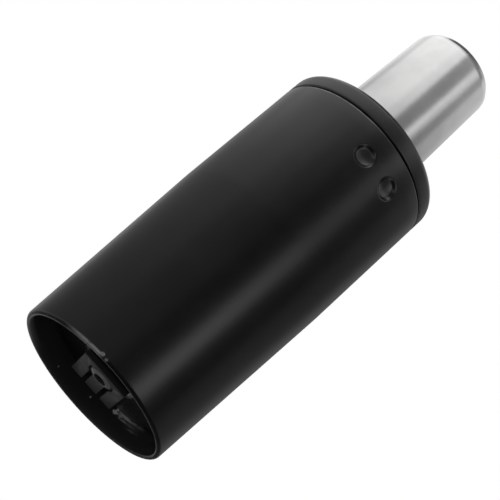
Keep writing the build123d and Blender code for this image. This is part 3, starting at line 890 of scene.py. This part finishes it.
def ballTree(material):
    sizes = ["Pitch Radius", "Ball Radius", "Height"]
    tree, wire, given = startTree("bearing balls", ["Balls", "Segments", "Rings"], sizes)
    values = {"Segments": given["Segments"], "Rings": given["Rings"], "Radius": given["Ball Radius"]}
    ball = wire.node("GeometryNodeMeshUVSphere", None, values, "Mesh")
    spots = circlePoints(wire, given["Balls"], given["Pitch Radius"], given["Height"])
    balls = wire.node("GeometryNodeInstanceOnPoints", None, {"Points": spots, "Instance": ball})
    return endTree(tree, wire, balls, material)


def makeBearingBalls():
    piece = placed("bearingBalls", bpy.data.meshes.new("bearingBalls"))
    middle = (top("bearing_balls") + foot("bearing_balls")) / 2
    grown(piece, ballTree(innerSteel), {
        "Balls": bearing["balls"], "Segments": bearing["segments"], "Rings": bearing["rings"],
        "Pitch Radius": bearing["pitchRadius"] * mm, "Ball Radius": bearing["ballRadius"] * mm,
        "Height": middle * mm,
    })
    return standFor(piece, "bearing_balls", innerSteel)


bearingBalls = makeBearingBalls()
print("bearing balls:", bearing["balls"])


# Push button
button = {
    "radius": 4.5, "dome": 1.4, "flangeRadius": 6.0, "flangeHeight": 2.0, "flangeEdge": 0.2, "pinHole": 2.05,
    "pinHoleDepth": 5.05, "segments": 96, "step": 2.0,
}


def makePushButton():
    high = top("push_button")
    low = foot("push_button")
    flangeTop = low + button["flangeHeight"]
    corners = [
        (0, low + button["pinHoleDepth"]),
        (button["pinHole"], low + button["pinHoleDepth"]),
        (button["pinHole"], low),
        (button["flangeRadius"], low, button["flangeEdge"]),
        (button["flangeRadius"], flangeTop, button["flangeEdge"]),
        (button["radius"], flangeTop),
        (button["radius"], high, button["dome"]),
        (0, high),
    ]
    profile = filledProfile(roundedProfile(corners), button["step"])
    piece = spun("pushButton", profile, evenAngles(button["segments"]))
    return standFor(piece, "push_button", buttonPlastic)


# The sleeve that guides the button, held under the spindle's rolled top
sleeve = {
    "lip": 8.55, "bossEdge": 0.5, "bossDrop": 0.5, "boreGap": 0.06, "boreEdge": 0.25, "shoulder": 8.0,
    "seatGap": 0.05, "segments": 128, "step": 4.0,
}


def makeTopSleeve():
    spindleTop = top("spindle_tube")
    low = foot("top_sleeve")
    high = spindleTop - spindle["wall"]
    bossTop = spindleTop - sleeve["bossDrop"]
    shoulder = high - sleeve["shoulder"]
    seatTopRadius = outerRadius("spindle_tube") - spindle["taperLength"] * taperSlope
    topRadius = seatTopRadius - spindle["wall"] - sleeve["seatGap"]
    innerRounding = spindle["endRounding"] - spindle["wall"] + 2 * sleeve["seatGap"]
    bore = button["radius"] + sleeve["boreGap"]
    well = button["flangeRadius"] + sleeve["boreGap"]
    corners = [
        (well, low),
        (topRadius + (spindleTop - low) * taperSlope, low),
        (topRadius + spindle["wall"] * taperSlope, high, innerRounding),
        (sleeve["lip"], high),
        (sleeve["lip"], bossTop, sleeve["bossEdge"]),
        (bore, bossTop, sleeve["boreEdge"]),
        (bore, shoulder),
        (well, shoulder),
    ]
    profile = filledProfile(roundedProfile(corners), sleeve["step"])
    piece = spun("topSleeve", profile, evenAngles(sleeve["segments"]))
    return standFor(piece, "top_sleeve", sleevePlastic)


pushButton = makePushButton()
topSleeve = makeTopSleeve()
print("top end: button and sleeve")


# Pieces that keep their own mesh get only a finish
finishOf = {
    "lower_race": innerSteel, "upper_race": innerSteel, "ball_cage": nylon, "piston_rod": rodSteel,
    "buffer_ring": rubber, "buffer_washer": zincSteel, "piston": turnedAluminium, "piston_ring": nylon,
    "piston_seal": rubber, "piston_nut": zincSteel, "pressure_tube": innerSteel, "centring_ring": nylon,
    "seal_washer": zincSteel, "rod_seal": rubber, "rod_guide": turnedBrass, "valve_body": turnedAluminium,
    "body_seals": rubber, "pin_seals": rubber, "valve_pin": innerSteel,
}
for node, finish in finishOf.items():
    slots = frame["nodes"][node].material_slots
    for slot in slots:
        slot.material = finish
    if not slots:
        frame["nodes"][node].data.materials.append(finish)
print("inner pieces finished:", len(finishOf))


# Stage: card and lid steps are in degrees
stage = {
    "floorRadius": 3.0, "floorColour": 0.82, "floorSegments": 128, "ambient": 0.45, "cardStep": 6,
    "lidStep": 10,
}


# Floor: pale and plain from above, and clear from below, where the photograph's camera is
def makeFloor():
    hole = tubeOutside(0) - tube["rimOuterRounding"]
    work = bmesh.new()
    inner, outer = (
        [work.verts.new((radius * cos(a), radius * sin(a), 0)) for a in evenAngles(stage["floorSegments"])]
        for radius in (hole * mm, stage["floorRadius"])
    )
    for index in range(len(inner)):
        onward = (index + 1) % len(inner)
        work.faces.new((inner[index], outer[index], outer[onward], inner[onward]))
    floor = placedMesh("floor", work)
    material, wire = emptyMaterial("pale floor")
    below = wire.node("ShaderNodeNewGeometry", out="Backfacing")
    shadow = wire.node("ShaderNodeLightPath", out="Is Shadow Ray")
    colour = (stage["floorColour"],) * 3 + (1.0,)
    pale = wire.node("ShaderNodeBsdfDiffuse", None, {"Color": colour})
    clear = wire.node("ShaderNodeBsdfTransparent")
    either = wire.node("ShaderNodeMixShader", None, {"Fac": below.most(shadow), 1: pale, 2: clear})
    wire.node("ShaderNodeOutputMaterial", None, {"Surface": either})
    floor.data.materials.append(material)
    floor.visible_glossy = False
    return floor


# White for the eye and for gloss, a plain grey level for what it lights
def makeWorld():
    world = bpy.data.worlds.new("studio")
    bpy.context.scene.world = world
    world.use_nodes = True
    world.node_tree.nodes.clear()
    wire = Wire(world.node_tree)
    rays = wire.node("ShaderNodeLightPath")
    named = {socket.name: Wire(world.node_tree, socket) for socket in rays.socket.node.outputs}
    seen = named["Is Camera Ray"].most(named["Is Glossy Ray"]).most(named["Is Transmission Ray"])
    strength = stage["ambient"] + seen * (1 - stage["ambient"])
    background = wire.node("ShaderNodeBackground", None, {"Color": (1, 1, 1, 1), "Strength": strength})
    wire.node("ShaderNodeOutputWorld", None, {"Surface": background})


# Where a thing stands round the object: 0 is the camera's side, and 90 is the object's +X side
def standing(turn, height, distance):
    angle = radians(turn)
    return Vector((distance * sin(angle), -distance * cos(angle), height))


def addLamp(name, values):
    data = bpy.data.lights.new(name, "AREA")
    data.shape = "RECTANGLE"
    data.size, data.size_y = values["size"]
    data.energy = values["level"] * pi * data.size * data.size_y
    lamp = placed(name, data)
    lamp.location = standing(*values["stand"])
    aim = Vector((0, 0, values["aimHeight"])) - lamp.location
    lamp.rotation_euler = aim.to_track_quat("-Z", "Y").to_euler()
    lamp.visible_camera = False
    lamp.visible_glossy = False
    return lamp


# Seen by gloss alone. Levels between two marks run evenly from one to the next
def glowing(card, marks, levels):
    material, wire, place = startMaterial(card.name)
    z = wire.node("ShaderNodeSeparateXYZ", None, {"Vector": place}, "Z")
    reach = marks[-1] - marks[0]
    brightest = max(levels)
    stops = [((mark - marks[0]) / reach, level / brightest) for mark, level in zip(marks, levels)]
    tone = wire.node("ShaderNodeValToRGB", {"stops": stops}, {"Fac": (z - marks[0]) / reach}, "Color")
    glow = wire.node("ShaderNodeEmission", None, {"Color": tone, "Strength": brightest})
    wire.node("ShaderNodeOutputMaterial", None, {"Surface": glow})
    card.data.materials.append(material)
    card.visible_camera = False
    card.visible_diffuse = False
    card.visible_shadow = False
    card.visible_transmission = False
    return card


# Cards shade metal and black coats, as in a studio: each stands upright and glows by its levels up its height
def addCard(name, values):
    work = bmesh.new()
    start, end = values["turns"]
    steps = max(2, ceil((end - start) / stage["cardStep"]))
    verts = []
    for step in range(steps + 1):
        turn = start + (end - start) * step / steps
        spots = [standing(turn, height, values["distance"]) for height in values["heights"]]
        verts.append([work.verts.new(spot) for spot in spots])
    for (low, high), (nextLow, nextHigh) in zip(verts, verts[1:]):
        work.faces.new((low, nextLow, nextHigh, high))
    return glowing(placedMesh(name, work), values["marks"], values["levels"])


# A flat fan of card over or under the object, of one level
def addLid(name, values):
    work = bmesh.new()
    start, end = values["turns"]
    height = values["height"]
    middle = work.verts.new((0, 0, height))
    spots = [standing(turn, height, values["distance"]) for turn in range(start, end + 1, stage["lidStep"])]
    rim = [work.verts.new(spot) for spot in spots]
    for first, second in zip(rim, rim[1:]):
        work.faces.new((middle, first, second))
    return glowing(placedMesh(name, work), (-1.0, 1.0), (values["level"], values["level"]))


lamps = {
    "leftSoftbox": {"stand": (-65, 0.75, 0.8), "aimHeight": 0.08, "size": (0.9, 0.6), "level": 1.5},
    "topSoftbox": {"stand": (30, 1.3, 0.3), "aimHeight": 0.06, "size": (0.9, 0.9), "level": 1.2},
}
wall = {
    "heights": (-0.002, 0.56), "distance": 0.28,
    "marks": (0.10, 0.146, 0.172, 0.206, 0.254, 0.29, 0.346, 0.41, 0.48),
}
cellar = {"heights": (-0.45, -0.004), "distance": 0.2, "marks": (-0.07, -0.004)}
cards = {
    "leftEndCard": {**wall, "turns": (-142, -118),
                    "levels": (0.27, 0.30, 0.29, 0.34, 0.62, 0.60, 1.08, 1.22, 1.3)},
    "leftCard": {**wall, "turns": (-118, -52),
                 "levels": (0.21, 0.30, 0.31, 0.40, 1.12, 0.74, 1.60, 1.65, 1.5)},
    "frontLeftCard": {**wall, "turns": (-52, -30),
                      "levels": (0.145, 0.135, 0.15, 0.25, 0.69, 0.84, 1.6, 1.7, 1.6)},
    "frontMidCard": {**wall, "turns": (-30, -5),
                     "levels": (0.15, 0.095, 0.065, 0.045, 0.25, 0.74, 1.4, 1.5, 1.5)},
    "frontCard": {**wall, "turns": (-5, 30),
                  "levels": (0.04, 0.035, 0.02, 0.008, 0.07, 0.26, 0.40, 0.5, 0.4)},
    "stripCard": {**wall, "turns": (31, 47),
                  "levels": (1.22, 0.84, 0.56, 0.04, 0.74, 1.1, 1.15, 0.7, 0.2)},
    "wideStripCard": {"turns": (47, 58), "heights": (0.29, 0.45), "distance": 0.275,
                      "marks": (0.29, 0.34, 0.41), "levels": (0.75, 1.0, 0.9)},
    "stripEdgeCard": {"turns": (30, 34), "heights": (0.28, 0.45), "distance": 0.275,
                      "marks": (0.28, 0.34, 0.41), "levels": (0.25, 0.56, 0.5)},
    "rightCard": {**wall, "turns": (48, 82),
                  "levels": (0.04, 0.035, 0.025, 0.01, 0.03, 0.31, 0.45, 0.4, 0.15)},
    "rightMidCard": {**wall, "turns": (82, 125),
                     "levels": (0.16, 0.14, 0.14, 0.11, 0.14, 0.52, 0.80, 0.9, 0.9)},
    "rightGreyCard": {**wall, "turns": (125, 200),
                      "levels": (0.25, 0.26, 0.28, 0.25, 0.28, 0.58, 0.84, 0.95, 0.8)},
    "leftRearCard": {**wall, "turns": (200, 218),
                     "levels": (0.58, 0.60, 0.52, 0.46, 0.66, 1.0, 1.28, 1.4, 1.4)},
    "leftUnderCard": {**cellar, "turns": (-130, -20), "marks": (-0.13, -0.05), "levels": (0.06, 0.4)},
    "frontUnderCard": {**cellar, "turns": (-20, 100), "levels": (0.03, 0.03)},
    "rightUnderCard": {**cellar, "turns": (100, 172), "levels": (0.05, 0.1)},
    "backUnderCard": {**cellar, "turns": (172, 230), "levels": (0.09, 0.6)},
}
lids = {
    "darkRoofCard": {"turns": (170, 420), "height": 0.56, "distance": 0.29, "level": 0.13},
    "greyRoofCard": {"turns": (60, 170), "height": 0.56, "distance": 0.29, "level": 0.55},
    "darkRoofSpot": {"turns": (100, 170), "height": 0.557, "distance": 0.165, "level": 0.13},
    "pitCard": {"turns": (0, 360), "height": -0.45, "distance": 0.22, "level": 0.03},
}
makeFloor()
makeWorld()
for name, values in lamps.items():
    addLamp(name, values)
for name, values in cards.items():
    addCard(name, values)
for name, values in lids.items():
    addLid(name, values)


# Camera, as the photograph's: it looks up at the open foot, rolled so that the lift lies at an angle.
# Each of the object's axes is given as the camera sees it: to the right, up and towards the camera
camera = {
    "place": (0.0, -0.32978, -0.09263), "xAxis": (0.65879, -0.75233, -0.00143),
    "yAxis": (-0.30973, -0.26948, -0.91184), "zAxis": (0.68562, 0.60115, -0.41055),
    "lens": 100.31, "sensor": 36.0, "shift": (0.0, 0.0013), "clip": (0.01, 20.0),
}


def makeCamera():
    data = bpy.data.cameras.new("camera")
    data.lens = camera["lens"]
    data.sensor_width = camera["sensor"]
    data.shift_x, data.shift_y = camera["shift"]
    data.clip_start, data.clip_end = camera["clip"]
    eyeHighlight = placed("camera", data)
    turned = Matrix((camera["xAxis"], camera["yAxis"], camera["zAxis"]))
    eyeHighlight.matrix_world = Matrix.Translation(camera["place"]) @ turned.to_4x4()
    bpy.context.scene.camera = eyeHighlight


makeCamera()
bpy.context.scene.view_settings.view_transform = "Standard"
print("stage, lamps and camera set")
